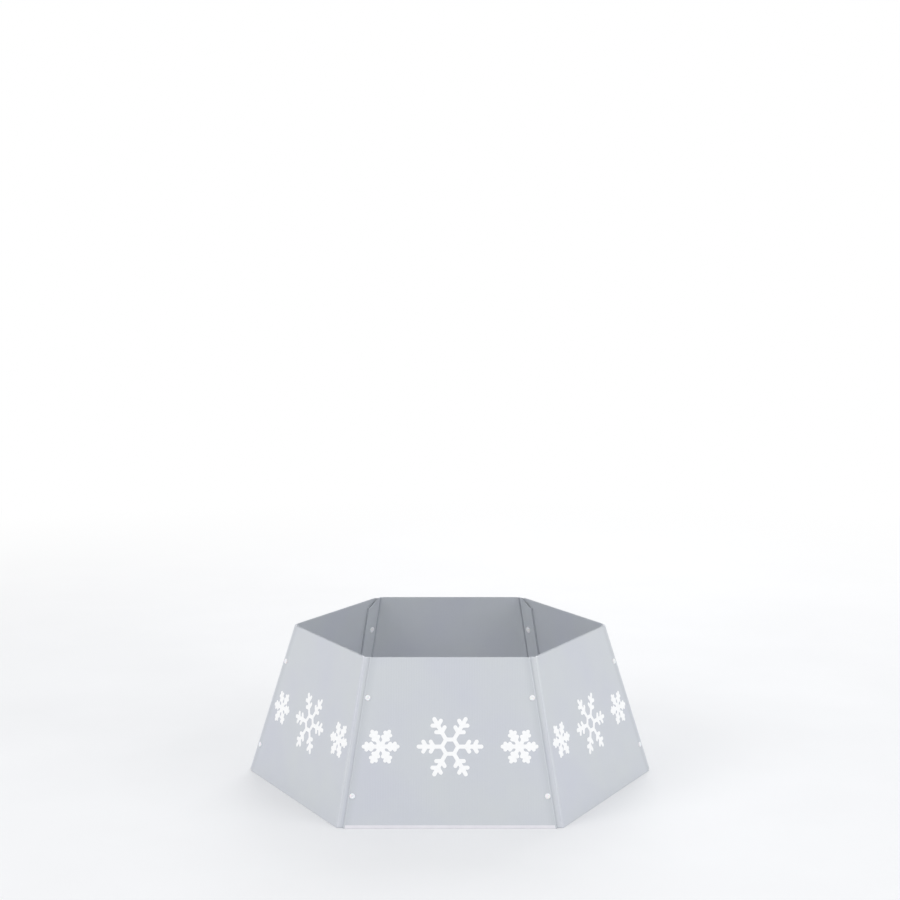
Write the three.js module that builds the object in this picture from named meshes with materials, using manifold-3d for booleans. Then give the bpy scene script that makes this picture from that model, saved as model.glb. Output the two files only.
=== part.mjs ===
// A tree skirt: a six-sided tapered collar of silver board that stands round the foot of a tree.
// Each panel leans inwards. At every corner one panel carries a flap, folded along a pressed crease,
// which lies behind the next panel and is held there by two snap rivets.
// Millimetres, +Z up. The origin is on the floor in the middle of the collar, and the front panel
// faces -Y.

import * as THREE from 'three';
import { ConvexGeometry } from 'three/addons/geometries/ConvexGeometry.js';
import { mergeVertices } from 'three/addons/utils/BufferGeometryUtils.js';
import Module from 'manifold-3d';

// The collar
const sides = 6;
const bottomAcross = 684; // across opposite corners at the floor, where the panels' faces would meet
const topAcross = 527; // the same at the top edge
const collarHeight = 250;
const boardThickness = 3;
const fitGap = 0.3; // clearance between pieces that touch

// The seams
const edgeSetback = 7.5; // from the corner back to the edge of the panel that lies outside
const flapReach = 34; // from the corner to the flap's far edge
const flapEndInset = 0.4; // how far the flap stops short of the panel's top and bottom at the crease
const flapEndSlope = 14; // how much more it has stepped in at its far edge
const looseSeamClearance = 1; // width of the crease at the seam that takes up the ring's slack

// The snap rivets
const rivetFromCorner = 14.2;
const lowerRivetHeight = 47; // above the floor
const upperRivetDrop = 59.5; // below the top edge
const rivetHoleRadius = 3.2;
const studHeadRadius = 4.2;
const studHeadHeight = 1.8;
const studHeadRim = 0.5; // height of the straight edge under the dome
const studDimpleRadius = 1.2;
const studDimpleDepth = 0.5;
const studPinRadius = 1.6;
const studBarbRadius = 1.85;
const studBarbLength = 1.2;
const socketHeadRadius = 5.5;
const socketHeadHeight = 1.5;
const socketHeadRim = 0.9;
const socketSleeveRadius = 2.8;
const socketBoreRadius = 2.15;
const rivetSegments = 12;

// Shares that shape the rivets: the pin's cut end and the dimple's floor as shares of their radius,
// the barb's widest place as a share of its length, the dome's shoulder as shares of the head's
// radius and height, and the flat of the socket's head as a share of its radius
const studShares = { pinEnd: 0.7, barbWidest: 0.67, shoulderOut: 0.72, shoulderUp: 0.84, dimpleFloor: 0.6 };
const socketFlatShare = 0.8;

// The printed snowflakes
const printThickness = 0.3;
const printHeight = 119; // height of the row's middle above the floor
const printSpacing = 106.6; // from the large snowflake to the small ones
const largeSnowflakeRadius = 51.3;
const smallSnowflakeRadius = 28.8;

// The snowflakes' shapes, as shares of their own radius, and the steps in each rounded tip, where no
// steps make a tip that is cut straight
const largeShares = {
  tipSteps: 2,
  ringInner: 0.174,
  ringOuter: 0.31,
  armWidth: 0.12,
  tipWidth: 0.124,
  branches: [
    { root: 0.49, out: 0.605, side: 0.198, width: 0.121 },
    { root: 0.715, out: 0.83, side: 0.198, width: 0.121 },
  ],
};
const smallShares = {
  tipSteps: 0,
  coreRadius: 0.275,
  armWidth: 0.21,
  tipWidth: 0.207,
  branches: [
    { root: 0.405, out: 0.56, side: 0.239, width: 0.195 },
    { root: 0.63, out: 0.812, side: 0.24, width: 0.195 },
  ],
};
const armCount = 6; // ice has six arms

// Sizes worked out from the ones above
const bottomApothem = (bottomAcross / 2) * Math.cos(Math.PI / sides);
const topApothem = (topAcross / 2) * Math.cos(Math.PI / sides);
const lean = Math.atan2(bottomApothem - topApothem, collarHeight);
const faceDistance = bottomApothem * Math.cos(lean);
const flapDepth = boardThickness + fitGap; // from the outer panel's face to the flap's
const stackDepth = flapDepth + boardThickness;
const overrun = boardThickness; // how far a cutter reaches past what it cuts
const turn = (2 * Math.PI) / sides;

const boardMaterial = new THREE.MeshStandardMaterial({ color: 0xc9ced4, roughness: 0.38, metalness: 0.35 });
const rivetMaterial = new THREE.MeshStandardMaterial({ color: 0xf4f5f6, roughness: 0.3, metalness: 0 });
const printMaterial = new THREE.MeshStandardMaterial({ color: 0xfdfdfe, roughness: 0.45, metalness: 0 });

const wasm = await Module();
wasm.setup();

const skirt = new THREE.Group();

// Panels in order round the collar, turning clockwise seen from above, and the seams between them.
// Each seam has a panel that lies outside and a panel that carries the flap.
const panelNames = ['front', 'left', 'rear_left', 'rear', 'rear_right', 'right'];
const panels = panelNames.map((name, index) => ({ name, group: panelGroup(-index * turn) }));
const byName = Object.fromEntries(panels.map((panel) => [panel.name, panel]));
const seams = [
  { name: 'front_left', outer: byName.front, carrier: byName.left, crease: fitGap },
  { name: 'left', outer: byName.left, carrier: byName.rear_left, crease: fitGap },
  { name: 'rear_left', outer: byName.rear_left, carrier: byName.rear, crease: fitGap },
  { name: 'rear_right', outer: byName.rear_right, carrier: byName.rear, crease: looseSeamClearance },
  { name: 'right', outer: byName.right, carrier: byName.rear_right, crease: fitGap },
  { name: 'front_right', outer: byName.front, carrier: byName.right, crease: fitGap },
];

// A panel's own frame: X along the panel, Y up its slope, Z out of its face, with its origin in the
// middle of the panel's bottom edge, on the face.
function panelGroup(angle) {
  const group = new THREE.Group();
  group.position.set(0, -bottomApothem, 0).applyAxisAngle(new THREE.Vector3(0, 0, 1), angle);
  group.rotation.set(Math.PI / 2 - lean, 0, angle, 'ZXY');
  group.updateMatrixWorld(true);
  skirt.add(group);
  return group;
}

// The way a panel faces
function outward(panel) {
  return new THREE.Vector3(0, 0, 1).transformDirection(panel.group.matrixWorld);
}

// The plane that lies a given depth behind a panel's face
function facePlane(panel, depth) {
  return new THREE.Plane(outward(panel), depth - faceDistance);
}

function levelPlane(height) {
  return new THREE.Plane(new THREE.Vector3(0, 0, 1), -height);
}

// The point where three planes meet
function meet(first, second, third) {
  const inverse = new THREE.Matrix3().set(...first.normal, ...second.normal, ...third.normal).invert();
  return new THREE.Vector3(-first.constant, -second.constant, -third.constant).applyMatrix3(inverse);
}

// The direction of a corner, upwards
function cornerDirection(seam) {
  const direction = outward(seam.outer).cross(outward(seam.carrier)).normalize();
  return direction.z < 0 ? direction.negate() : direction;
}

// The plane that halves a fold between the carrier and its flap, moved towards the carrier by shift
function foldPlane(seam, shift) {
  const across = outward(seam.carrier).sub(outward(seam.outer));
  const width = across.length();
  return new THREE.Plane(across.normalize(), -flapDepth / width - shift);
}

// A plane square to the outer panel's face, parallel to the corner and a given distance in from it
function squarePlane(seam, distance) {
  const corner = meet(facePlane(seam.outer, 0), facePlane(seam.carrier, 0), levelPlane(0));
  const inwards = outward(seam.outer).cross(cornerDirection(seam)).normalize();
  const middle = seam.outer.group.position.clone().sub(corner);
  if (inwards.dot(middle) < 0) inwards.negate();
  const place = corner.addScaledVector(inwards, distance);
  return new THREE.Plane().setFromNormalAndCoplanarPoint(inwards, place);
}

// The plane that a panel ends on at one of its seams
function panelEnd(panel, seam) {
  return seam.outer === panel ? squarePlane(seam, edgeSetback) : foldPlane(seam, fitGap / 2);
}

// A board between two faces, two ends, a bottom and a top, as a solid in a panel's own frame
function board(panel, faces, ends, bottom, top) {
  const corners = [];
  for (const face of faces) {
    for (const end of ends) {
      for (const level of [bottom, top]) corners.push(meet(face, end, level));
    }
  }
  return hull(panel, corners);
}

// The solid between points of the collar, in a panel's own frame
function hull(panel, corners) {
  return solid(new ConvexGeometry(corners.map((corner) => panel.group.worldToLocal(corner))));
}

function solid(geometry) {
  geometry.deleteAttribute('normal');
  geometry.deleteAttribute('uv');
  const merged = mergeVertices(geometry);
  const vertProperties = new Float32Array(merged.attributes.position.array);
  const triVerts = new Uint32Array(merged.index.array);
  return new wasm.Manifold(new wasm.Mesh({ numProp: 3, vertProperties, triVerts }));
}

// A solid's surface, without the points that joins leave inside flat faces
function surface(manifold) {
  const { vertProperties, triVerts } = manifold.asOriginal().simplify().getMesh();
  const geometry = new THREE.BufferGeometry();
  geometry.setAttribute('position', new THREE.BufferAttribute(vertProperties, 3));
  geometry.setIndex(new THREE.BufferAttribute(triVerts, 1));
  geometry.computeVertexNormals();
  return geometry;
}

function addMesh(group, name, geometry, material) {
  const mesh = new THREE.Mesh(geometry, material);
  mesh.name = name;
  group.add(mesh);
  return mesh;
}

// Where a seam's rivets go, in the outer panel's own frame
function rivetPlaces(seam) {
  const heights = { lower: lowerRivetHeight, upper: collarHeight - upperRivetDrop };
  return Object.entries(heights).map(([level, height]) => {
    const place = meet(facePlane(seam.outer, 0), squarePlane(seam, rivetFromCorner), levelPlane(height));
    return { level, place: seam.outer.group.worldToLocal(place) };
  });
}

// The rivet holes of a seam, through the outer panel and the flap behind it
function rivetHoles(seam) {
  const length = stackDepth + 2 * overrun;
  const holes = rivetPlaces(seam).map(({ place }) => {
    const cutter = new THREE.CylinderGeometry(rivetHoleRadius, rivetHoleRadius, length, rivetSegments);
    cutter.rotateX(Math.PI / 2).translate(place.x, place.y, -stackDepth / 2);
    return solid(cutter);
  });
  return holes.reduce((all, hole) => all.add(hole));
}

function addPanel(panel) {
  const ownSeams = seams.filter((seam) => seam.outer === panel || seam.carrier === panel);
  const faces = [facePlane(panel, 0), facePlane(panel, boardThickness)];
  const ends = ownSeams.map((seam) => panelEnd(panel, seam));
  let shape = board(panel, faces, ends, levelPlane(0), levelPlane(collarHeight));
  for (const seam of ownSeams) {
    if (seam.outer === panel) shape = shape.subtract(rivetHoles(seam));
  }
  addMesh(panel.group, `${panel.name}_panel`, surface(shape), boardMaterial);
}

// The corners of a flap's top or bottom end on one of its faces: level from the crease to the outer
// panel's edge, and from there sloping to the far edge
function flapEndCorners(seam, face, height, slope) {
  const level = levelPlane(height);
  const crease = foldPlane(seam, fitGap / 2 - seam.crease);
  const farEnd = squarePlane(seam, flapReach);
  const front = facePlane(seam.outer, flapDepth);
  const edge = meet(front, squarePlane(seam, edgeSetback), level);
  const far = meet(front, farEnd, levelPlane(height + slope));
  const behind = edge.clone().sub(outward(seam.outer));
  const sloping = new THREE.Plane().setFromCoplanarPoints(edge, far, behind);
  return [meet(face, crease, level), meet(face, sloping, level), meet(face, farEnd, sloping)];
}

// The flap lies behind the outer panel and ends at the crease, beside the panel that carries it
function addFlap(seam) {
  const corners = [flapDepth, stackDepth].flatMap((depth) => {
    const face = facePlane(seam.outer, depth);
    return [
      ...flapEndCorners(seam, face, flapEndInset, flapEndSlope),
      ...flapEndCorners(seam, face, collarHeight - flapEndInset, -flapEndSlope),
    ];
  });
  const shape = hull(seam.outer, corners).subtract(rivetHoles(seam));
  addMesh(seam.outer.group, `${seam.name}_seam_flap`, surface(shape), boardMaterial);
}

// The outer half of a rivet: a domed head with a dimple, and a pin with a barb at its end
function studGeometry() {
  const seat = fitGap;
  const tip = -stackDepth + fitGap;
  const profile = [
    [0, tip],
    [studPinRadius * studShares.pinEnd, tip],
    [studBarbRadius, tip + studBarbLength * studShares.barbWidest],
    [studPinRadius, tip + studBarbLength],
    [studPinRadius, seat],
    [studHeadRadius, seat],
    [studHeadRadius, seat + studHeadRim],
    [studHeadRadius * studShares.shoulderOut, seat + studHeadHeight * studShares.shoulderUp],
    [studDimpleRadius, seat + studHeadHeight],
    [studDimpleRadius * studShares.dimpleFloor, seat + studHeadHeight - studDimpleDepth],
    [0, seat + studHeadHeight - studDimpleDepth],
  ];
  return turned(profile);
}

// The inner half of a rivet: a flat head with a sleeve that takes the pin
function socketGeometry() {
  const seat = -stackDepth - fitGap;
  const mouth = -fitGap;
  const profile = [
    [0, seat - socketHeadHeight],
    [socketHeadRadius * socketFlatShare, seat - socketHeadHeight],
    [socketHeadRadius, seat - socketHeadRim],
    [socketHeadRadius, seat],
    [socketSleeveRadius, seat],
    [socketSleeveRadius, mouth],
    [socketBoreRadius, mouth],
    [socketBoreRadius, seat],
    [0, seat],
  ];
  return turned(profile);
}

// A profile of radius and height, turned about the Z axis
function turned(profile) {
  const points = profile.map(([radius, height]) => new THREE.Vector2(radius, height));
  return new THREE.LatheGeometry(points, rivetSegments).rotateX(Math.PI / 2);
}

function addRivets(seam) {
  const halves = { stud: studGeometry, socket: socketGeometry };
  for (const { level, place } of rivetPlaces(seam)) {
    for (const [half, make] of Object.entries(halves)) {
      const name = `${seam.name}_seam_${level}_rivet_${half}`;
      const rivet = addMesh(seam.outer.group, name, surface(solid(make())), rivetMaterial);
      rivet.position.copy(place);
    }
  }
}

function printed(shape) {
  return solid(new THREE.ExtrudeGeometry(shape, { depth: printThickness, bevelEnabled: false }));
}

// A bar from one point to another, with its own width at each end
function bar(start, end, startWidth, endWidth, tipSteps) {
  const along = end.clone().sub(start).normalize();
  const side = new THREE.Vector2(-along.y, along.x);
  const points = [
    start.clone().addScaledVector(side, startWidth / 2),
    start.clone().addScaledVector(side, -startWidth / 2),
  ];
  if (tipSteps === 0) {
    points.push(end.clone().addScaledVector(side, -endWidth / 2));
    points.push(end.clone().addScaledVector(side, endWidth / 2));
  }
  const tipCentre = end.clone().addScaledVector(along, -endWidth / 2);
  for (let step = 0; tipSteps > 0 && step <= tipSteps; step += 1) {
    const angle = Math.PI * (step / tipSteps - 1 / 2);
    const out = (endWidth / 2) * Math.cos(angle);
    const aside = (endWidth / 2) * Math.sin(angle);
    points.push(tipCentre.clone().addScaledVector(along, out).addScaledVector(side, aside));
  }
  return printed(new THREE.Shape(points));
}

function polygon(radius, count, start) {
  return Array.from({ length: count }, (_, index) => {
    const angle = start + (index * 2 * Math.PI) / count;
    return new THREE.Vector2(radius * Math.cos(angle), radius * Math.sin(angle));
  });
}

// One arm along +X with its pairs of side branches
function snowflakeArm(radius, shares, startShare) {
  const point = (out, side) => new THREE.Vector2(radius * out, radius * side);
  const { armWidth, tipWidth, tipSteps } = shares;
  let arm = bar(point(startShare, 0), point(1, 0), radius * armWidth, radius * tipWidth, tipSteps);
  for (const { root, out, side, width } of shares.branches) {
    for (const way of [-1, 1]) {
      arm = arm.add(bar(point(root, 0), point(out, way * side), radius * width, radius * width, tipSteps));
    }
  }
  return arm;
}

function aroundMiddle(arm, core) {
  let flake = core;
  for (let index = 0; index < armCount; index += 1) {
    flake = flake.add(arm.rotate([0, 0, (index * 360) / armCount]));
  }
  return surface(flake);
}

// The large snowflake has a six-sided ring in its middle, and the small one a solid middle
function largeSnowflake() {
  const { ringInner, ringOuter } = largeShares;
  const ring = new THREE.Shape(polygon(largeSnowflakeRadius * ringOuter, armCount, 0));
  ring.holes.push(new THREE.Path(polygon(largeSnowflakeRadius * ringInner, armCount, 0)));
  const arm = snowflakeArm(largeSnowflakeRadius, largeShares, (ringInner + ringOuter) / 2);
  return aroundMiddle(arm, printed(ring));
}

function smallSnowflake() {
  const core = new THREE.Shape(polygon(smallSnowflakeRadius * smallShares.coreRadius, armCount, 0));
  const arm = snowflakeArm(smallSnowflakeRadius, smallShares, 0);
  return aroundMiddle(arm, printed(core));
}

// The middle of a panel's print, halfway between its ends: each end that is set back moves it
function printMiddle(panel) {
  const along = new THREE.Vector3(1, 0, 0).transformDirection(panel.group.matrixWorld);
  const cutEnds = seams.filter((seam) => seam.outer === panel);
  const sidesCut = cutEnds.reduce((sum, seam) => sum + Math.sign(outward(seam.carrier).dot(along)), 0);
  return (-sidesCut * edgeSetback) / 2;
}

// The row of print across a panel's face: a small, a large and a small snowflake
function addPrint(panel) {
  const middle = printMiddle(panel);
  const row = [
    { name: 'small_left', across: middle - printSpacing, make: smallSnowflake },
    { name: 'large', across: middle, make: largeSnowflake },
    { name: 'small_right', across: middle + printSpacing, make: smallSnowflake },
  ];
  const slope = printHeight / Math.cos(lean);
  for (const { name, across, make } of row) {
    const print = addMesh(panel.group, `${panel.name}_snowflake_${name}`, make(), printMaterial);
    print.position.set(across, slope, fitGap);
  }
}

panels.forEach(addPanel);
seams.forEach(addFlap);
seams.forEach(addRivets);
panels.forEach(addPrint);

export default skirt;
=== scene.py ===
"""The looks of a folding six-sided tree skirt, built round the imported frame.

Metres, +Z up, the front panel facing -Y. Six panels of silver twin-wall board lean inwards. At each
corner one panel carries a flap that lies behind its neighbour and is held there by two snap rivets.
"""

import math

import bmesh
import bpy
import numpy as np
from mathutils import Matrix, Vector, geometry


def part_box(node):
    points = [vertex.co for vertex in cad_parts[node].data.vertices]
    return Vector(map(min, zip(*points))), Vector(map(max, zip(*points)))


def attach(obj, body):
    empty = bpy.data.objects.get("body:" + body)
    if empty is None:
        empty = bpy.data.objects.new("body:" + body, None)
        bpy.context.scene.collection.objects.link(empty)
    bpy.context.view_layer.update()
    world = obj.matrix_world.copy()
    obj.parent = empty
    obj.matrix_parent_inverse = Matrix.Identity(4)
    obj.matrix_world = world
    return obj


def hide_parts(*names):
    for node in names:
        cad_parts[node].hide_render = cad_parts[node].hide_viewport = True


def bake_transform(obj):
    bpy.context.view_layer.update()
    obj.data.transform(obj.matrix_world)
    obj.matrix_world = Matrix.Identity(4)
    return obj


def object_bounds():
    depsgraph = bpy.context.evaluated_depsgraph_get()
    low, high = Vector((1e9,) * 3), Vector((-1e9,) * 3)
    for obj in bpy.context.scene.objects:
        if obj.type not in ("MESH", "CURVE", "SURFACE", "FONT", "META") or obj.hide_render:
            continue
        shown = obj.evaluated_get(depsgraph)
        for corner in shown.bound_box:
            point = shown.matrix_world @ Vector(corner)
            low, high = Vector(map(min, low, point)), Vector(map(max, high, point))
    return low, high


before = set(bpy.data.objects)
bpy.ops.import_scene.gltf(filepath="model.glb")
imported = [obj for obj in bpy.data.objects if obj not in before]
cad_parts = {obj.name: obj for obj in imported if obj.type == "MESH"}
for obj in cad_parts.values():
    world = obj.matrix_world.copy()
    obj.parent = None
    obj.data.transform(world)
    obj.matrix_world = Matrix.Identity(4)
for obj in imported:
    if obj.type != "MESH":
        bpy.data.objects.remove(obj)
cad_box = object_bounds()

MM = 0.001
SMOOTH_UNDER = 40  # degrees: faces that meet at less are shaded as one surface
FLAT_UNDER = 0.5  # degrees: faces that meet at less are one flat face
NEAR = 0.3 * MM  # a corner that is nearer than this to a plane counts as on it

# The board: two liners with thin ribs between them
BOARD = 3 * MM
LINER = 0.35 * MM
RIB = 0.35 * MM
FLUTE_PITCH = 3.9 * MM
FIT_GAP = 0.3 * MM
FLAP_DEPTH = BOARD + FIT_GAP
STACK_DEPTH = FLAP_DEPTH + BOARD
OVERRUN = 5 * MM  # how far a cutter reaches past what it cuts

# The pressed creases
CREASE_RADIUS = 3.4 * MM
CREASE_WIDTH = 2.6 * MM  # of the pressed board on either side of the fold
CREASE_OUTER_PRESS = 0.2 * MM
CREASE_INNER_PRESS = 1.5 * MM
CREASE_SIDE_STEPS = 5
CREASE_FOLD_STEPS = 8
FLUTE_STOP = 1.5 * MM  # from the pressed board to the flutes' ends

# The cut ends: the die has pinched the flutes shut along a board's slanting ends and rolled down a
# panel's face there, and painted shade darkens an end that lies over a flap, as a soft shadow beside the
# seam
PINCH = 2 * MM
ROLL_WIDTH = 2.6 * MM
ROLL_DEPTH = 1.6 * MM
ROLL_STEPS = 4
# How far in from such an end the painted shade reaches
END_SHADE_WIDTH = 14 * MM

# The crease that no joint runs through
SLACK = 1 * MM  # the open width beside the slack crease
LIP_REACH = 3.2 * MM  # how far the slack crease's skin reaches over its flap
LIP_THICKNESS = 0.2 * MM
LIP_LIFT = 0.03 * MM

# The print
INK = 0.12 * MM
SUNK = 0.02 * MM  # how far print and rivets are let into the board, so that no gap shows
GRID = 0.55 * MM  # the steps in which a snowflake's outline is found
GRID_WELD_SHARE = 0.05  # of a step: outline points nearer than this are one
LARGE_FILLET = 0.9 * MM
SMALL_FILLET = 1.5 * MM

# The snowflakes' shapes, as shares of their own radius: the ring's inner and outer corners, the
# arm's widths, and each branch's root, tip and width
LARGE_SHARES = {
    "ring": (0.174, 0.31),
    "arm": (0.12, 0.124),
    "branches": [(0.49, (0.605, 0.198), 0.121), (0.715, (0.83, 0.198), 0.121)],
}
SMALL_SHARES = {
    "ring": (-1, 0.275),
    "arm": (0.21, 0.207),
    "branches": [(0.405, (0.56, 0.239), 0.195), (0.63, (0.812, 0.24), 0.195)],
}
ARMS = 6

# The pressed band along the bottom of the front panel, with two fine beads
BAND_BOTTOM = 0.1 * MM
BAND_HEIGHT = 5.1 * MM
BAND_FILM = 0.03 * MM
BAND_BEAD = 0.1 * MM
BAND_BEADS = 2
BAND_STEPS = 24

# The snap rivets
RIVET_STEPS = 48
HEAD_STEPS = 10
HEAD_TOP = 2.1 * MM
HEAD_RIM = 0.8 * MM
DIMPLE_RADIUS = 1.45 * MM
DIMPLE_DEPTH = 0.75 * MM
PIN_RADIUS = 1.6 * MM
BARB_RADIUS = 1.85 * MM
BARB_LENGTH = 1.2 * MM
SOCKET_RADIUS = 5.5 * MM
SOCKET_HEIGHT = 1.8 * MM
SOCKET_EDGE = 0.7 * MM
SOCKET_EDGE_STEPS = 5
SLEEVE_RADIUS = 2.8 * MM
BORE_RADIUS = 2.15 * MM
HOLE_RADIUS = 3.2 * MM

# Shares that shape a stud: its pin's cut end and its barb's widest place, as shares of the pin's radius
# and the barb's length, and the dome's top, the dimple's lip, wall, sunken ring and the ring's depth, as
# shares of the dimple's radius and depth
STUD_SHARES = {
    "pin_end": 0.7,
    "barb_widest": 0.67,
    "crown": 1.25,
    "dimple_lip": 0.15,
    "dimple_wall": 0.85,
    "dimple_ring": 0.4,
    "ring_depth": 0.1,
}

# The shallow dish in a socket's head, as shares of its edge's radius and its sleeve's
SOCKET_SHARES = {"dish_depth": 0.4, "dish_radius": 0.8}

PANELS = ["front", "left", "rear_left", "rear", "rear_right", "right"]
SIDES = len(PANELS)

# Each seam's outer panel and the panel that carries its flap
SEAMS = {
    "front_left": ("front", "left"),
    "left": ("left", "rear_left"),
    "rear_left": ("rear_left", "rear"),
    "rear_right": ("rear_right", "rear"),
    "right": ("right", "rear_right"),
    "front_right": ("front", "right"),
}
SLACK_SEAM = "rear_right"  # no joint runs here, so its crease rides on one panel alone

# The sizes of the spots and lines in each finish
CLOUD_SPOTS = 140 * MM
PIGMENT_SPOTS = 0.4 * MM
SHEEN_SPOTS = 40 * MM
DRAWN_LINES = 0.7 * MM
BOARD_GRAIN = 1.1 * MM
STRAIN_SPOTS = 4 * MM
CREASE_GRAIN = 1.4 * MM
BAND_SPOTS = 17 * MM
BAND_GRAIN = 2 * MM
INK_SPOTS = 11 * MM
INK_SHEEN = 3.3 * MM
INK_GRAIN = 0.7 * MM
NYLON_SPOTS = 8 * MM
NYLON_GRAIN = 1.25 * MM
FLOOR_SPOTS = 330 * MM

# How many rounds of finer detail a noise has
PLAIN = 2
DETAILED = 3
RICH = 4

# The heights of the finishes' reliefs
RIB_RELIEF = 0.02 * MM
DRAWN_RELIEF = 0.012 * MM
BOARD_RELIEF = 0.015 * MM
CREASE_RELIEF = 0.05 * MM
BAND_RELIEF = 0.02 * MM
INK_RELIEF = 0.01 * MM
NYLON_RELIEF = 0.015 * MM

NOISE_SPAN = (0.3, 0.7)  # where nearly all of a noise's values lie
CLOUD_SPAN = (0.35, 0.65)  # narrower, so that the clouds have plain middles
DRAWN_STRETCH = 0.01  # the drawn lines' width as a share of their length
PIGMENT_SHARE = 0.35  # how far the grain reaches towards the pale silver
STRAIN_SHARE = 0.4  # how far a fold's strained board does

# How rough the finishes are, and what else makes them up
SATIN_ROUGHNESS = (0.38, 0.48)
SATIN_METALLIC = 0.18
BAND_ROUGHNESS = 0.32
INK_ROUGHNESS = (0.42, 0.55)
NYLON_ROUGHNESS = 0.3
NYLON_GLOW = 0.1  # the share of light that passes into the nylon
NYLON_GLOW_DEPTH = 1 * MM
FLOOR_ROUGHNESS = 0.6
FLOOR_SPECULAR = 0.2

# The stage
FLOOR_REACH = 30
FLOOR_DROP = 0.2 * MM
FLOOR_FADE = (0.7, 3.2)  # where the floor starts to pass into the background, and ends
AMBIENT = 0.72
AMBIENT_COLOUR = (0.97, 0.985, 1.0)

# The lamps: name, place, side, watts and colour
LAMPS = [
    ("key", (-2.6, -1.7, 2.3), 1.8, 30, (1.0, 0.99, 0.98)),
    ("fill", (2.6, -1.6, 1.9), 2.2, 26, (0.98, 0.99, 1.0)),
    ("back", (0.5, 2.6, 2.1), 2.0, 24, (1.0, 1.0, 1.0)),
]

# The camera
PHOTO_PIXELS = 900
FOCAL_PIXELS = 1665.2
SENSOR = 36  # Blender's own unit here is a millimetre of film
CAMERA_DISTANCE = 2.7486
CAMERA_HEIGHT = 0.8706
CAMERA_PITCH = 6.73  # degrees down


def edge_distance(height):
    """How far the front panel's outer edge is from the middle of the skirt at its bottom or top."""
    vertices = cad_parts["front_panel"].data.vertices
    return -min(v.co.y for v in vertices if abs(v.co.z - height) < NEAR)


HEIGHT = cad_box[1].z
BOTTOM_DISTANCE = edge_distance(0)
LEAN = math.atan2(BOTTOM_DISTANCE - edge_distance(HEIGHT), HEIGHT)
SLOPE = HEIGHT / math.cos(LEAN)
FLAP_END_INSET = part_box("front_left_seam_flap")[0].z


def panel_frame(panel):
    """A panel's own frame: X along it, Y up its slope and Z out of its face, from its bottom edge."""
    turn = Matrix.Rotation(-PANELS.index(panel) * 2 * math.pi / SIDES, 4, "Z")
    tilt = Matrix.Rotation(math.pi / 2 - LEAN, 4, "X")
    return turn @ Matrix.Translation((0, -BOTTOM_DISTANCE, 0)) @ tilt


def outward(panel):
    """The way a panel's face looks."""
    return panel_frame(panel).to_3x3() @ Vector((0, 0, 1))


def node_points(node, panel):
    """A CAD node's corners in a panel's own frame."""
    inverse = panel_frame(panel).inverted()
    return [inverse @ v.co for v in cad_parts[node].data.vertices]


class Fold:
    """The rounded fold between a panel and the flap that it carries."""

    def __init__(self, seam):
        outer, carrier = SEAMS[seam]
        self.normals = [outward(carrier), outward(outer)]
        on_carrier = panel_frame(carrier).translation
        on_flap = panel_frame(outer).translation - FLAP_DEPTH * self.normals[1]
        corner, self.along = geometry.intersect_plane_plane(
            on_carrier, self.normals[0], on_flap, self.normals[1]
        )
        self.along *= math.copysign(1, self.along.z)
        self.bend = self.normals[0].angle(self.normals[1])
        spread = CREASE_RADIUS / (1 + math.cos(self.bend))
        self.centre = self.at_height(corner - spread * (self.normals[0] + self.normals[1]), 0)
        self.sides = []
        for own, other in (self.normals, self.normals[::-1]):
            side = own.cross(self.along)
            self.sides.append(side * math.copysign(1, -side.dot(other)))
        self.half = CREASE_RADIUS * self.bend / 2

    def at_height(self, point, height):
        """The point slid along the fold to a height."""
        return point + self.along * ((height - point.z) / self.along.z)

    def point(self, across, depth, height):
        """A place across the fold, measured over its outside, at a depth below it and a height."""
        side = 0 if across < 0 else 1
        beyond = abs(across) - self.half
        if beyond > 0:
            offset = (CREASE_RADIUS - depth) * self.normals[side] + beyond * self.sides[side]
        else:
            angle = across / CREASE_RADIUS
            first = math.sin(self.bend / 2 - angle) * self.normals[0]
            second = math.sin(self.bend / 2 + angle) * self.normals[1]
            offset = (CREASE_RADIUS - depth) * (first + second) / math.sin(self.bend)
        return self.at_height(self.centre + offset, height)

    def end(self, side, beyond):
        """A plane square to a board, where it starts beside the fold: a point and the way in."""
        return self.centre + beyond * self.sides[side], self.sides[side]


# Meshes


def new_object(name, mesh, material, matrix=None):
    piece = bpy.data.objects.new(name, mesh)
    bpy.context.scene.collection.objects.link(piece)
    if matrix is not None:
        piece.matrix_world = matrix
    if material is not None:
        mesh.materials.clear()
        mesh.materials.append(material)
    return piece


def to_mesh(bm, name, smooth=False):
    """A mesh from a bmesh. A smooth one is sharp only at its corners."""
    bmesh.ops.recalc_face_normals(bm, faces=bm.faces)
    mesh = bpy.data.meshes.new(name)
    bm.to_mesh(mesh)
    bm.free()
    if smooth:
        mesh.shade_smooth()
        mesh.set_sharp_from_angle(angle=math.radians(SMOOTH_UNDER))
    return mesh


def dissolve_flat(bm):
    """Joins the faces that lie in one plane."""
    bmesh.ops.dissolve_limit(bm, angle_limit=math.radians(FLAT_UNDER), verts=bm.verts, edges=bm.edges)


def cut_by_plane(bm, point, way_in):
    """Takes off what lies behind a plane, and closes the cut."""
    everything = bm.verts[:] + bm.edges[:] + bm.faces[:]
    bmesh.ops.bisect_plane(bm, geom=everything, plane_co=point, plane_no=way_in, clear_inner=True)
    bmesh.ops.holes_fill(bm, edges=[e for e in bm.edges if e.is_boundary])


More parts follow.
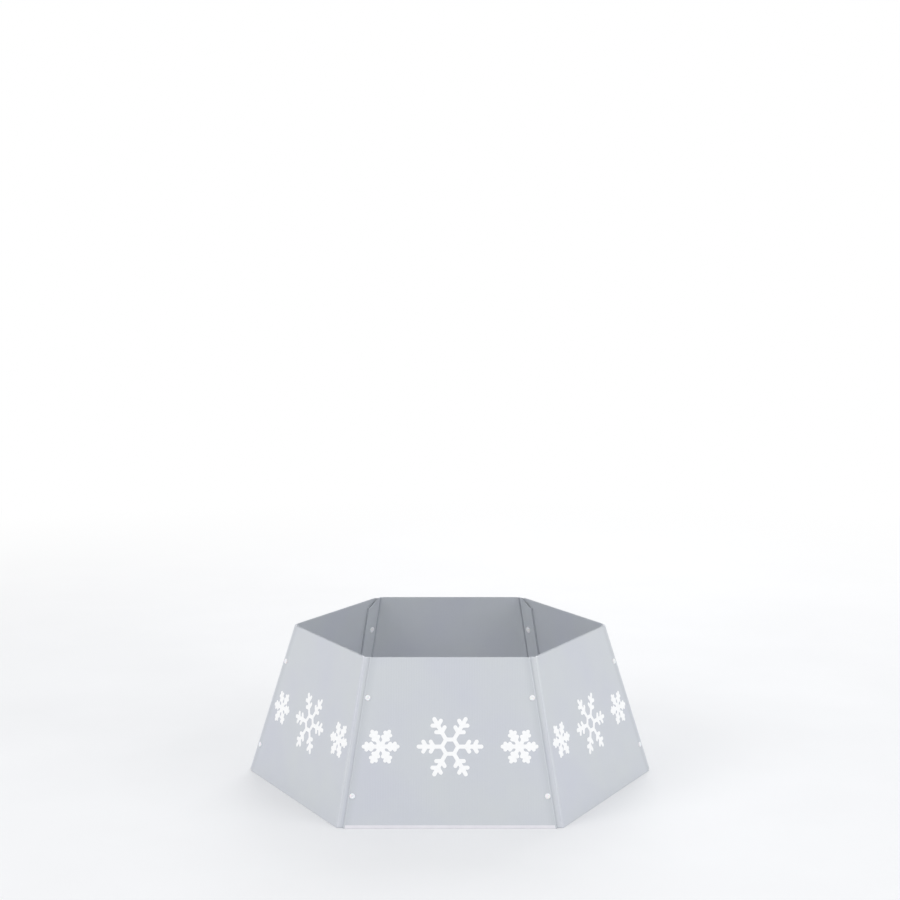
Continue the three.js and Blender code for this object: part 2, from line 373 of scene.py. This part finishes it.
def cut_by_mesh(piece, cutter_mesh):
    """Takes a closed mesh away from a piece with the same place."""
    cutter = new_object("cutter", cutter_mesh, None, piece.matrix_world)
    cut = piece.modifiers.new("cut", "BOOLEAN")
    cut.operation = "DIFFERENCE"
    cut.solver = "MANIFOLD"
    cut.object = cutter
    result = bpy.data.meshes.new_from_object(piece.evaluated_get(bpy.context.evaluated_depsgraph_get()))
    piece.modifiers.remove(cut)
    piece.data = result
    bpy.data.objects.remove(cutter)


def lathe(profile, steps, centre=(0, 0, 0)):
    """A solid turned about Z from (radius, height) points that start and end on the axis."""
    bm = bmesh.new()
    rings = []
    for radius, height in profile:
        count = 1 if radius == 0 else steps
        turns = [2 * math.pi * step / steps for step in range(count)]
        places = [Vector((radius * math.cos(t), radius * math.sin(t), height)) for t in turns]
        rings.append([bm.verts.new(place + Vector(centre)) for place in places])
    for low, high in zip(rings, rings[1:]):
        for step in range(steps):
            after = (step + 1) % steps
            corners = [low[step % len(low)], low[after % len(low)]]
            corners += [high[after % len(high)], high[step % len(high)]]
            bm.faces.new(dict.fromkeys(corners))
    return bm


def strip(rows):
    """A closed bar from a row of four-cornered sections."""
    bm = bmesh.new()
    sections = [[bm.verts.new(corner) for corner in row] for row in rows]
    for here, after in zip(sections, sections[1:]):
        for index in range(len(here)):
            bm.faces.new((here[index - 1], here[index], after[index], after[index - 1]))
    bm.faces.new(sections[0])
    bm.faces.new(sections[-1])
    return bm


# Boards


def flutes(direction, face_depth, stops):
    """The long hollows between a board's liners, as one mesh of bars in its panel's own frame."""
    bm = bmesh.new()
    across = direction.cross(Vector((0, 0, 1)))
    top, bottom = -face_depth - LINER, -face_depth - BOARD + LINER
    reach = SLOPE + BOTTOM_DISTANCE
    count = math.ceil(BOTTOM_DISTANCE / FLUTE_PITCH)
    for index in range(-count, count + 1):
        corners = []
        for end in (-reach, reach):
            for side, level in ((-1, bottom), (1, bottom), (1, top), (-1, top)):
                place = across * (index * FLUTE_PITCH + side * (FLUTE_PITCH - RIB) / 2)
                corners.append(bm.verts.new(place + direction * end + Vector((0, 0, level))))
        bm.faces.new(corners[:4])
        bm.faces.new(corners[4:])
        for side in range(4):
            after = (side + 1) % 4
            bm.faces.new((corners[side], corners[after], corners[4 + after], corners[4 + side]))
    for point, way_in in stops:
        cut_by_plane(bm, point, way_in)
    return to_mesh(bm, "flutes")


def slanting_ends(corners):
    """A board's left and right ends: a place on each at the height of its face, and the way in."""
    flat = [corner.xy for corner in corners]
    outline = [flat[index] for index in geometry.convex_hull_2d(flat)]
    middle = sum(flat, Vector((0, 0))) / len(flat)
    ends = []
    for here, after in zip(outline, outline[1:] + outline[:1]):
        edge = after - here
        if abs(edge.y) > max(abs(edge.x), SLOPE / 2):
            way_in = Vector((-edge.y, edge.x, 0)).normalized()
            way_in *= math.copysign(1, way_in.xy.dot(middle - here))
            ends.append((here.to_3d(), way_in))
    return ends


def roll_end(bm, edge, way_in):
    """Rounds a panel's face down to a cut end, along a parabola that starts flat."""
    shares = [step / ROLL_STEPS for step in range(ROLL_STEPS + 1)]
    profile = [(ROLL_WIDTH * share, ROLL_DEPTH * (1 - share) ** 2) for share in shares]
    for (inset, depth), (next_inset, next_depth) in zip(profile, profile[1:]):
        bend = edge + inset * way_in - Vector((0, 0, depth))
        inwards = (depth - next_depth) * way_in - Vector((0, 0, next_inset - inset))
        cut_by_plane(bm, bend, inwards.normalized())


def holes(seam):
    """The holes that a seam's rivets go through, in the outer panel's own frame."""
    bm = bmesh.new()
    for level in ("lower", "upper"):
        centre = rivet_place(seam, level)
        profile = [(0, -STACK_DEPTH - OVERRUN), (HOLE_RADIUS, -STACK_DEPTH - OVERRUN)]
        profile += [(HOLE_RADIUS, OVERRUN), (0, OVERRUN)]
        hole = lathe(profile, RIVET_STEPS, centre)
        mesh = to_mesh(hole, "hole")
        bm.from_mesh(mesh)
        bpy.data.meshes.remove(mesh)
    return to_mesh(bm, "holes")


def board(name, node, panel, starts, face_depth, direction, hole_seams, material):
    """A twin-wall board in a CAD node's outline, from where its creases end, with its hollows."""
    matrix = panel_frame(panel)
    inverse = matrix.inverted()
    bm = bmesh.new()
    for corner in node_points(node, panel):
        bm.verts.new(corner)
    hull = bmesh.ops.convex_hull(bm, input=bm.verts)
    inside = set(hull["geom_interior"]) | set(hull["geom_unused"])
    bmesh.ops.delete(bm, geom=[v for v in inside if isinstance(v, bmesh.types.BMVert)], context="VERTS")
    dissolve_flat(bm)
    ends = slanting_ends([v.co.copy() for v in bm.verts])
    if node == f"{panel}_panel":
        for edge, way_in in ends:
            roll_end(bm, edge, way_in)
    stops = [(edge + PINCH * way_in, way_in) for edge, way_in in ends]
    for fold, side, beyond in starts:
        point, way_in = fold.end(side, beyond)
        way_in = inverse.to_3x3() @ way_in
        cut_by_plane(bm, inverse @ point, way_in)
        stops.append((inverse @ point + FLUTE_STOP * way_in, way_in))
    piece = new_object(name, to_mesh(bm, name), material, matrix)
    for seam in hole_seams:
        cut_by_mesh(piece, holes(seam))
    cut_by_mesh(piece, flutes(direction, face_depth, stops))
    piece.data.name = name
    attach(piece, panel)
    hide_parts(node)
    return piece


def flap_direction(seam):
    """The way a flap's flutes run: the carrier's way, bent round the fold with the flap."""
    outer, carrier = SEAMS[seam]
    fold = folds[seam]
    up = panel_frame(carrier).to_3x3() @ Vector((0, 1, 0))
    bend = fold.normals[0].rotation_difference(fold.normals[1])
    return panel_frame(outer).to_3x3().inverted() @ (bend @ up)


def outer_seams(panel):
    """The seams where a panel lies over its neighbour's flap."""
    return [seam for seam, (outer, _) in SEAMS.items() if outer == panel]


def add_boards():
    for panel in PANELS:
        starts = [(folds[s], 0, CREASE_WIDTH) for s, (_, carrier) in SEAMS.items() if carrier == panel]
        outside = outer_seams(panel)
        up = Vector((0, 1, 0))
        material = make_board_material(panel)
        board(f"{panel}_board", f"{panel}_panel", panel, starts, 0, up, outside, material)
    for seam, (outer, _) in SEAMS.items():
        beyond = SLACK if seam == SLACK_SEAM else CREASE_WIDTH
        starts = [(folds[seam], 1, beyond)]
        node = f"{seam}_seam_flap"
        way = flap_direction(seam)
        board(f"{seam}_flap_board", node, outer, starts, FLAP_DEPTH, way, [seam], flap_material)


# Creases


def press(share):
    """A smooth hollow, from 0 at either end to 1 in the middle."""
    return math.sin(math.pi * share) ** 2


def crease_rows(fold, slack):
    """Sections across a crease: outside and inside, at its bottom and at its top."""
    steps = [-fold.half - CREASE_WIDTH * (1 - i / CREASE_SIDE_STEPS) for i in range(CREASE_SIDE_STEPS)]
    steps += [fold.half * (2 * i / CREASE_FOLD_STEPS - 1) for i in range(CREASE_FOLD_STEPS + 1)]
    if not slack:
        steps += [-across for across in reversed(steps[:CREASE_SIDE_STEPS])]
    rows = []
    for across in steps:
        beyond = max(abs(across) - fold.half, 0) / CREASE_WIDTH
        whole = abs(across) / (fold.half + CREASE_WIDTH)
        outside = CREASE_OUTER_PRESS * press(beyond)
        inside = BOARD - CREASE_INNER_PRESS * press((1 + whole) / 2)
        rows.append(crease_row(fold, across, outside, inside))
    if slack:
        for reach in (0, LIP_REACH):
            rows.append(crease_row(fold, fold.half + reach, -LIP_LIFT - LIP_THICKNESS, -LIP_LIFT))
    return rows


def crease_row(fold, across, outside, inside):
    """One section of a crease, which is a little shorter on its flap's side."""
    inset = FLAP_END_INSET * min(max((across / fold.half + 1) / 2, 0), 1)
    low, high = inset, HEIGHT - inset
    places = ((outside, low), (inside, low), (inside, high), (outside, high))
    return [fold.point(across, depth, height) for depth, height in places]


def add_creases():
    for seam, (outer, carrier) in SEAMS.items():
        fold = folds[seam]
        slack = seam == SLACK_SEAM
        mesh = to_mesh(strip(crease_rows(fold, slack)), f"{seam}_crease", smooth=True)
        piece = new_object(f"{seam}_crease", mesh, crease_material)
        if slack:
            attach(piece, carrier)
        else:
            middle = HEIGHT / 2
            start, end = (fold.point(way * fold.half, 0, middle) for way in (-1, 1))
            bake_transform(piece)


# Print


def smooth_min(first, second, width):
    """The smaller of two distances, rounded where they are nearly alike."""
    near = np.maximum(width - np.abs(first - second), 0) / width
    return np.minimum(first, second) - near * near * width / 4


def bar_distance(x, y, start, end, widths):
    """The distance to a round-ended bar whose end, tip included, lies at its second point."""
    start, end = np.array(start, float), np.array(end, float)
    length = np.linalg.norm(end - start)
    way = (end - start) / length
    length -= widths[1] / 2
    along = np.clip(((x - start[0]) * way[0] + (y - start[1]) * way[1]) / length, 0, 1)
    gap = np.hypot(x - start[0] - along * length * way[0], y - start[1] - along * length * way[1])
    return gap - (widths[0] + (widths[1] - widths[0]) * along) / 2


def snowflake_distance(x, y, radius, shares, fillet):
    """The distance to a snowflake's outline, less than zero inside it."""
    sector = 2 * math.pi / ARMS
    turned = (np.arctan2(y, x) + sector / 2) % sector - sector / 2
    out, aside = np.hypot(x, y) * np.cos(turned), np.abs(np.hypot(x, y) * np.sin(turned))
    inner, outer = (radius * share * math.cos(sector / 2) for share in shares["ring"])
    from_side = out * math.cos(sector / 2) + aside * math.sin(sector / 2)
    found = np.maximum(from_side - outer, inner - from_side)
    arm_start = (radius * max(sum(shares["ring"]) / 2, 0), 0)
    widths = [radius * share for share in shares["arm"]]
    found = smooth_min(found, bar_distance(out, aside, arm_start, (radius, 0), widths), fillet)
    for root, tip, width in shares["branches"]:
        tip = [radius * share for share in tip]
        branch = bar_distance(out, aside, (radius * root, 0), tip, [radius * width] * 2)
        found = smooth_min(found, branch, fillet)
    return found


def snowflake_mesh(name, radius, shares, fillet):
    """A snowflake as a thin film, from the part of a fine grid that lies inside its outline."""
    count = math.ceil(radius / GRID) + 1
    ticks = np.arange(-count, count + 1) * GRID
    x, y = np.meshgrid(ticks, ticks, indexing="ij")
    field = snowflake_distance(x, y, radius, shares, fillet)
    inside = field < 0
    bm = bmesh.new()
    made = {}

    def place(first, second):
        """The grid's corner, or the outline's crossing between two corners."""
        key = (first, second) if first <= second else (second, first)
        if key not in made:
            share = 0 if first == second else field[key[0]] / (field[key[0]] - field[key[1]])
            start, end = (Vector((x[k], y[k], 0)) for k in key)
            made[key] = bm.verts.new(start.lerp(end, share))
        return made[key]

    for i in range(2 * count):
        for j in range(2 * count):
            ring = [(i, j), (i + 1, j), (i + 1, j + 1), (i, j + 1)]
            corners = []
            for here, after in zip(ring, ring[1:] + ring[:1]):
                if inside[here]:
                    corners.append(place(here, here))
                if inside[here] != inside[after]:
                    corners.append(place(here, after))
            if len(corners) > 2:
                bm.faces.new(corners)
    bmesh.ops.remove_doubles(bm, verts=bm.verts, dist=GRID * GRID_WELD_SHARE)
    dissolve_flat(bm)
    bmesh.ops.recalc_face_normals(bm, faces=bm.faces)
    top = bmesh.ops.extrude_face_region(bm, geom=bm.faces[:])["geom"]
    raised = [v for v in top if isinstance(v, bmesh.types.BMVert)]
    bmesh.ops.translate(bm, verts=bm.verts, vec=(0, 0, -SUNK))
    bmesh.ops.translate(bm, verts=raised, vec=(0, 0, INK + SUNK))
    return to_mesh(bm, name)


def add_print():
    meshes = {}
    for panel in PANELS:
        for size in ("small_left", "large", "small_right"):
            node = f"{panel}_snowflake_{size}"
            points = node_points(node, panel)
            middle = sum(points, Vector()) / len(points)
            kind = "large" if size == "large" else "small"
            if kind not in meshes:
                radius = max((point - middle).xy.length for point in points)
                shares = LARGE_SHARES if kind == "large" else SMALL_SHARES
                fillet = LARGE_FILLET if kind == "large" else SMALL_FILLET
                meshes[kind] = snowflake_mesh(f"{kind}_snowflake", radius, shares, fillet)
            matrix = panel_frame(panel) @ Matrix.Translation((middle.x, middle.y, 0))
            piece = new_object(f"{node}_ink", meshes[kind], ink_material, matrix)
            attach(piece, panel)
            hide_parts(node)


def half_widths():
    """Half the front panel's width at its bottom, and how much narrower it grows up its slope."""
    face = [p for p in node_points("front_panel", "front") if abs(p.z) < NEAR]
    bottom = max(p.x for p in face if p.y < NEAR)
    top = max(p.x for p in face if p.y > SLOPE - NEAR)
    return bottom, (bottom - top) / SLOPE


def add_band():
    """The pale band pressed along the front panel's bottom edge, as wide as the flat face there."""
    bottom_half, narrowing = half_widths()
    rows = []
    for step in range(BAND_STEPS + 1):
        share = step / BAND_STEPS
        up = BAND_BOTTOM + BAND_HEIGHT * share
        half = bottom_half - narrowing * up - ROLL_WIDTH
        lift = BAND_FILM + BAND_BEAD * press((BAND_BEADS * share) % 1)
        ends = ((-half, -SUNK), (half, -SUNK), (half, lift), (-half, lift))
        rows.append([Vector((x, up, z)) for x, z in ends])
    mesh = to_mesh(strip(rows), "front_bottom_band", smooth=True)
    piece = new_object("front_bottom_band", mesh, band_material, panel_frame("front"))
    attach(piece, "front")


# Rivets


def rivet_place(seam, level):
    """Where a rivet goes through the outer panel's face, in that panel's own frame."""
    points = node_points(f"{seam}_seam_{level}_rivet_stud", SEAMS[seam][0])
    middle = sum(points, Vector()) / len(points)
    return Vector((middle.x, middle.y, 0))


def quarter(centre, radii, start, steps):
    """Points on a quarter of an ellipse, from an angle in quarter turns."""
    angles = [(start + step / steps) * math.pi / 2 for step in range(steps + 1)]
    return [(centre[0] + radii[0] * math.cos(a), centre[1] + radii[1] * math.sin(a)) for a in angles]


def stud_mesh():
    points = node_points("front_left_seam_lower_rivet_stud", "front")
    head = max((point - rivet_place("front_left", "lower")).xy.length for point in points)
    shares = STUD_SHARES
    tip = -STACK_DEPTH + FIT_GAP
    floor = HEAD_TOP - DIMPLE_DEPTH
    profile = [(0, tip), (PIN_RADIUS * shares["pin_end"], tip)]
    profile += [(BARB_RADIUS, tip + BARB_LENGTH * shares["barb_widest"])]
    profile += [(PIN_RADIUS, tip + BARB_LENGTH), (PIN_RADIUS, -SUNK), (head, -SUNK)]
    crown = DIMPLE_RADIUS * shares["crown"]
    profile += quarter((crown, HEAD_RIM), (head - crown, HEAD_TOP - HEAD_RIM), 0, HEAD_STEPS)
    profile += [(DIMPLE_RADIUS, HEAD_TOP - DIMPLE_DEPTH * shares["dimple_lip"])]
    profile += [(DIMPLE_RADIUS * shares["dimple_wall"], floor)]
    profile += [(DIMPLE_RADIUS * shares["dimple_ring"], floor - DIMPLE_DEPTH * shares["ring_depth"])]
    profile += [(0, floor)]
    return to_mesh(lathe(profile, RIVET_STEPS), "stud", smooth=True)


def socket_mesh():
    seat, end = -STACK_DEPTH + SUNK, -STACK_DEPTH - SOCKET_HEIGHT
    dish = end + SOCKET_EDGE * SOCKET_SHARES["dish_depth"]
    edge = (SOCKET_RADIUS - SOCKET_EDGE, end + SOCKET_EDGE)
    profile = [(0, dish), (SLEEVE_RADIUS * SOCKET_SHARES["dish_radius"], dish), (SLEEVE_RADIUS, end)]
    profile += quarter(edge, (SOCKET_EDGE, SOCKET_EDGE), 3, SOCKET_EDGE_STEPS)
    profile += [(SOCKET_RADIUS, seat), (SLEEVE_RADIUS, seat), (SLEEVE_RADIUS, -FIT_GAP)]
    profile += [(BORE_RADIUS, -FIT_GAP), (BORE_RADIUS, seat), (0, seat)]
    return to_mesh(lathe(profile, RIVET_STEPS), "socket", smooth=True)


def add_rivets():
    halves = {"stud": stud_mesh(), "socket": socket_mesh()}
    for seam, (outer, _) in SEAMS.items():
        for level in ("lower", "upper"):
            matrix = panel_frame(outer) @ Matrix.Translation(rivet_place(seam, level))
            for half, mesh in halves.items():
                name = f"{seam}_{level}_rivet_{half}"
                piece = new_object(name, mesh, rivet_material, matrix)
                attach(piece, outer)
                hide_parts(f"{seam}_seam_{level}_rivet_{half}")


# Materials


class Nodes:
    """A short way to write a material's nodes."""

    def __init__(self, name):
        self.material = bpy.data.materials.new(name)
        self.material.use_nodes = True
        self.tree = self.material.node_tree
        self.shader = self.tree.nodes["Principled BSDF"]
        self.place = self.add("ShaderNodeTexCoord").outputs["Object"]

    def add(self, kind, settings=None, **inputs):
        node = self.tree.nodes.new(kind)
        for key, value in (settings or {}).items():
            setattr(node, key, value)
        for key, value in inputs.items():
            self.feed(node.inputs[key.replace("_", " ")], value)
        return node

    def feed(self, socket, value):
        if isinstance(value, bpy.types.NodeSocket):
            self.tree.links.new(value, socket)
        else:
            socket.default_value = value

    def noise(self, spots, detail, place=None):
        """A noise whose spots have a size in metres, with so many rounds of finer detail."""
        node = self.add("ShaderNodeTexNoise", Vector=place or self.place, Scale=1 / spots, Detail=detail)
        return node.outputs["Fac"]

    def uneven(self, spots, detail, low, high, span=NOISE_SPAN):
        """A value that wanders between two."""
        return self.between(self.noise(spots, detail), *span, low, high)

    def between(self, value, low, high, to_low, to_high):
        """The value's range, mapped on another."""
        node = self.add("ShaderNodeMapRange", Value=value)
        limits = {"From Min": low, "From Max": high, "To Min": to_low, "To Max": to_high}
        for key, number in limits.items():
            self.feed(node.inputs[key], number)
        return node.outputs["Result"]

    def blend(self, share, first, second):
        """A colour between two, by a share."""
        node = self.add("ShaderNodeMix", {"data_type": "RGBA"})
        self.feed(node.inputs["Factor"], share)
        for socket, colour in zip([s for s in node.inputs if s.type == "RGBA"], (first, second)):
            self.feed(socket, colour)
        return [s for s in node.outputs if s.type == "RGBA"][0]

    def calculate(self, operation, *values):
        node = self.add("ShaderNodeMath", {"operation": operation})
        for socket, value in zip(node.inputs, values):
            self.feed(socket, value)
        return node.outputs[0]

    def bump(self, height, relief, normal=None):
        node = self.add("ShaderNodeBump", Height=height, Distance=relief)
        if normal is not None:
            self.feed(node.inputs["Normal"], normal)
        return node.outputs["Normal"]

    def set(self, **values):
        for key, value in values.items():
            self.feed(self.shader.inputs[key.replace("_", " ")], value)


def rgb(red, green, blue):
    """A colour from the screen's 0 to 255, as linear light."""
    shares = [value / 255 for value in (red, green, blue)]
    linear = [s / 12.92 if s <= 0.04045 else ((s + 0.055) / 1.055) ** 2.4 for s in shares]
    return (*linear, 1)


SILVER = rgb(204, 208, 211)
SILVER_COOL = rgb(200, 203, 212)
SILVER_PALE = rgb(215, 217, 222)
# Painted shade: the darker silver at a panel's ends that lie over flaps
SILVER_SHADED = rgb(195, 199, 204)
BAND_SHADES = rgb(227, 225, 231), rgb(233, 231, 236)
INK_SHADES = rgb(252, 252, 252), rgb(254, 254, 254)
NYLON_SHADES = rgb(243, 244, 246), rgb(249, 249, 250)
FLOOR_SHADES = rgb(240, 240, 241), rgb(243, 243, 244)


def silver(nodes):
    """The board's cloudy satin silver, with the fine grain of its pigment."""
    clouds = nodes.uneven(CLOUD_SPOTS, DETAILED, 0, 1, CLOUD_SPAN)
    grain = nodes.uneven(PIGMENT_SPOTS, PLAIN, 0, PIGMENT_SHARE)
    return nodes.blend(grain, nodes.blend(clouds, SILVER, SILVER_COOL), SILVER_PALE)


def satin(nodes, colour, normal):
    """The board's uneven sheen."""
    rough = nodes.uneven(SHEEN_SPOTS, RICH, *SATIN_ROUGHNESS)
    nodes.set(Base_Color=colour, Roughness=rough, Normal=normal, Metallic=SATIN_METALLIC)


def drawn_lines(nodes, normal=None):
    """The fine lines that the die has drawn along a liner, with the board's grain across them."""
    stretch = (1, DRAWN_STRETCH, 1)
    drawn = nodes.add("ShaderNodeMapping", Vector=nodes.place, Scale=stretch).outputs["Vector"]
    lines = nodes.bump(nodes.noise(DRAWN_LINES, DETAILED, drawn), DRAWN_RELIEF, normal)
    return nodes.bump(nodes.noise(BOARD_GRAIN, DETAILED), BOARD_RELIEF, lines)


def make_board_material(panel):
    """A panel's silver board: its ribs show faintly, and painted shade darkens the ends that lie over
    flaps.
    """
    nodes = Nodes(f"{panel}_silver_board")
    along, up, _ = nodes.add("ShaderNodeSeparateXYZ", Vector=nodes.place).outputs
    bottom_half, narrowing = half_widths()
    colour = silver(nodes)
    # Painted shade: the colour darkens towards each end that lies over a flap
    for seam in outer_seams(panel):
        way = math.copysign(1, rivet_place(seam, "lower").x)
        across = nodes.calculate("MULTIPLY_ADD", up, narrowing, nodes.calculate("MULTIPLY", along, way))
        end_shade = nodes.between(across, bottom_half - END_SHADE_WIDTH, bottom_half, 0, 1)
        colour = nodes.blend(end_shade, colour, SILVER_SHADED)
    ribs = nodes.calculate("COSINE", nodes.calculate("MULTIPLY", along, 2 * math.pi / FLUTE_PITCH))
    satin(nodes, colour, drawn_lines(nodes, nodes.bump(ribs, RIB_RELIEF)))
    return nodes.material


def make_flap_material():
    """The flaps' silver board, whose ribs run another way and don't show on its face."""
    nodes = Nodes("flap_board")
    satin(nodes, silver(nodes), drawn_lines(nodes))
    return nodes.material


def make_crease_material():
    """Silver board, paler where the fold has strained it."""
    nodes = Nodes("creased_board")
    strain = nodes.uneven(STRAIN_SPOTS, DETAILED, 0, STRAIN_SHARE)
    colour = nodes.blend(strain, silver(nodes), SILVER_PALE)
    satin(nodes, colour, nodes.bump(nodes.noise(CREASE_GRAIN, DETAILED), CREASE_RELIEF))
    return nodes.material


def make_band_material():
    """The pressed band at the bottom of the front panel."""
    nodes = Nodes("pressed_band")
    colour = nodes.blend(nodes.uneven(BAND_SPOTS, DETAILED, 0, 1), *BAND_SHADES)
    grain = nodes.bump(nodes.noise(BAND_GRAIN, PLAIN), BAND_RELIEF)
    nodes.set(Base_Color=colour, Roughness=BAND_ROUGHNESS, Normal=grain)
    return nodes.material


def make_ink_material():
    """Opaque white ink, with the faint unevenness of a screen print."""
    nodes = Nodes("white_ink")
    colour = nodes.blend(nodes.uneven(INK_SPOTS, RICH, 0, 1), *INK_SHADES)
    rough = nodes.uneven(INK_SHEEN, PLAIN, *INK_ROUGHNESS)
    grain = nodes.bump(nodes.noise(INK_GRAIN, PLAIN), INK_RELIEF)
    nodes.set(Base_Color=colour, Roughness=rough, Normal=grain)
    return nodes.material


def make_rivet_material():
    """Smooth white nylon."""
    nodes = Nodes("white_nylon")
    colour = nodes.blend(nodes.uneven(NYLON_SPOTS, PLAIN, 0, 1), *NYLON_SHADES)
    grain = nodes.bump(nodes.noise(NYLON_GRAIN, PLAIN), NYLON_RELIEF)
    nodes.set(Base_Color=colour, Roughness=NYLON_ROUGHNESS, Normal=grain)
    nodes.set(Subsurface_Weight=NYLON_GLOW, Subsurface_Scale=NYLON_GLOW_DEPTH)
    return nodes.material


# Stage


def background_rays(tree):
    """1 for a ray that sees the background directly, or through a reflection or clear piece."""
    path = tree.nodes.new("ShaderNodeLightPath")
    share = path.outputs["Is Camera Ray"]
    for kind in ("Is Glossy Ray", "Is Transmission Ray"):
        either = tree.nodes.new("ShaderNodeMath")
        either.operation = "MAXIMUM"
        tree.links.new(share, either.inputs[0])
        tree.links.new(path.outputs[kind], either.inputs[1])
        share = either.outputs[0]
    return share


def make_floor_material():
    """A pale floor that holds the skirt's shadow and passes into the white background far out."""
    nodes = Nodes("pale_floor")
    colour = nodes.blend(nodes.uneven(FLOOR_SPOTS, DETAILED, 0, 1), *FLOOR_SHADES)
    nodes.set(Base_Color=colour, Roughness=FLOOR_ROUGHNESS, Specular_IOR_Level=FLOOR_SPECULAR)
    length = nodes.add("ShaderNodeVectorMath", {"operation": "LENGTH"}, Vector=nodes.place)
    smooth = {"interpolation_type": "SMOOTHSTEP"}
    far = nodes.add("ShaderNodeMapRange", smooth, Value=length.outputs["Value"])
    far.inputs["From Min"].default_value, far.inputs["From Max"].default_value = FLOOR_FADE
    white = nodes.add("ShaderNodeEmission", Strength=1.0)
    share = nodes.calculate("MULTIPLY", far.outputs["Result"], background_rays(nodes.tree))
    mix = nodes.add("ShaderNodeMixShader", Fac=share)
    nodes.tree.links.new(nodes.shader.outputs["BSDF"], mix.inputs[1])
    nodes.tree.links.new(white.outputs["Emission"], mix.inputs[2])
    nodes.tree.links.new(mix.outputs["Shader"], nodes.tree.nodes["Material Output"].inputs["Surface"])
    return nodes.material


def add_floor():
    bm = bmesh.new()
    bmesh.ops.create_grid(bm, x_segments=1, y_segments=1, size=FLOOR_REACH)
    piece = new_object("floor", to_mesh(bm, "floor"), make_floor_material())
    piece.location.z = -FLOOR_DROP


def add_lamp(name, place, size, power, colour):
    """A soft square lamp that faces the skirt."""
    lamp = bpy.data.lights.new(name, "AREA")
    lamp.size = size
    lamp.energy = power
    lamp.color = colour
    holder = bpy.data.objects.new(name, lamp)
    bpy.context.scene.collection.objects.link(holder)
    holder.location = place
    towards_skirt = Vector((0, 0, HEIGHT / 2)) - Vector(place)
    holder.rotation_euler = towards_skirt.to_track_quat("-Z", "Y").to_euler()


def add_world():
    """Even light from all round, which the camera sees as a white background."""
    world = bpy.data.worlds.new("studio")
    world.use_nodes = True
    bpy.context.scene.world = world
    tree = world.node_tree
    tree.nodes.clear()
    light = tree.nodes.new("ShaderNodeBackground")
    light.inputs["Color"].default_value = (*AMBIENT_COLOUR, 1)
    light.inputs["Strength"].default_value = AMBIENT
    seen = tree.nodes.new("ShaderNodeBackground")
    seen.inputs["Color"].default_value = (1, 1, 1, 1)
    seen.inputs["Strength"].default_value = 1
    mix = tree.nodes.new("ShaderNodeMixShader")
    output = tree.nodes.new("ShaderNodeOutputWorld")
    tree.links.new(background_rays(tree), mix.inputs["Fac"])
    tree.links.new(light.outputs["Background"], mix.inputs[1])
    tree.links.new(seen.outputs["Background"], mix.inputs[2])
    tree.links.new(mix.outputs["Shader"], output.inputs["Surface"])


def add_camera():
    """The photograph's camera, as worked out from the skirt's corners in it."""
    data = bpy.data.cameras.new("camera")
    data.sensor_width = SENSOR
    data.lens = SENSOR * FOCAL_PIXELS / PHOTO_PIXELS
    camera = bpy.data.objects.new("camera", data)
    bpy.context.scene.collection.objects.link(camera)
    camera.location = (0, -CAMERA_DISTANCE, CAMERA_HEIGHT)
    camera.rotation_euler = (math.radians(90 - CAMERA_PITCH), 0, 0)
    bpy.context.scene.camera = camera


folds = {seam: Fold(seam) for seam in SEAMS}
flap_material = make_flap_material()
crease_material = make_crease_material()
band_material = make_band_material()
ink_material = make_ink_material()
rivet_material = make_rivet_material()

add_boards()
add_creases()
add_print()
add_band()
add_rivets()
add_floor()
add_world()
for lamp in LAMPS:
    add_lamp(*lamp)
add_camera()
bpy.context.scene.view_settings.view_transform = "Standard"
